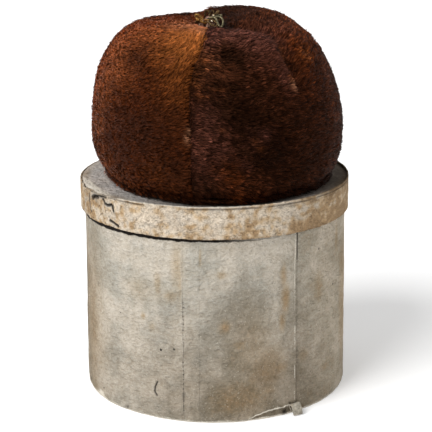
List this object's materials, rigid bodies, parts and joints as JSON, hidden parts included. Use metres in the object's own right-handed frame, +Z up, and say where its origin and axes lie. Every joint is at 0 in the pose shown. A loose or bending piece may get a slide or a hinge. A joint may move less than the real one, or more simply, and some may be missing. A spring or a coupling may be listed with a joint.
{
  "type": "fur cap on hat box",
  "caption": "Puffed round fur cap with a gold wire ornament in its crown, standing on its closed round pasteboard hat box.",
  "frame": {"origin": "middle of the hat box's underside, on the surface it stands on", "axes": "+Z up through the box and the cap, -Y towards the front, +X to the right seen from the front"},
  "size_m": [0.2618, 0.2618, 0.3691],
  "materials": {
    "box_paper": "pale grey-green paper, matt, mottled and stained",
    "lid_paper": "grey paper, matt and dusty",
    "rim_paper": "buff paper with brown blotches, matt, torn at one side",
    "dark_fur": "short dense dark auburn fur with a soft sheen",
    "golden_fur": "short dense golden chestnut fur with a soft sheen",
    "gold_thread": "wound gold thread, dulled",
    "gold_wire": "coiled gold wire, slightly tarnished"
  },
  "bodies": {
    "root": {"box_wall": "box_paper", "box_floor": "box_paper", "lid_panel": "lid_paper", "lid_rim": "rim_paper", "pelt_right": "dark_fur", "pelt_left": "golden_fur", "hem_band": "dark_fur", "ornament_core": "gold_thread", "loop_left": "gold_wire", "loop_right": "gold_wire", "loop_back_left": "gold_wire", "loop_back_right": "gold_wire", "loop_front": "gold_wire"}
  },
  "joints": []
}
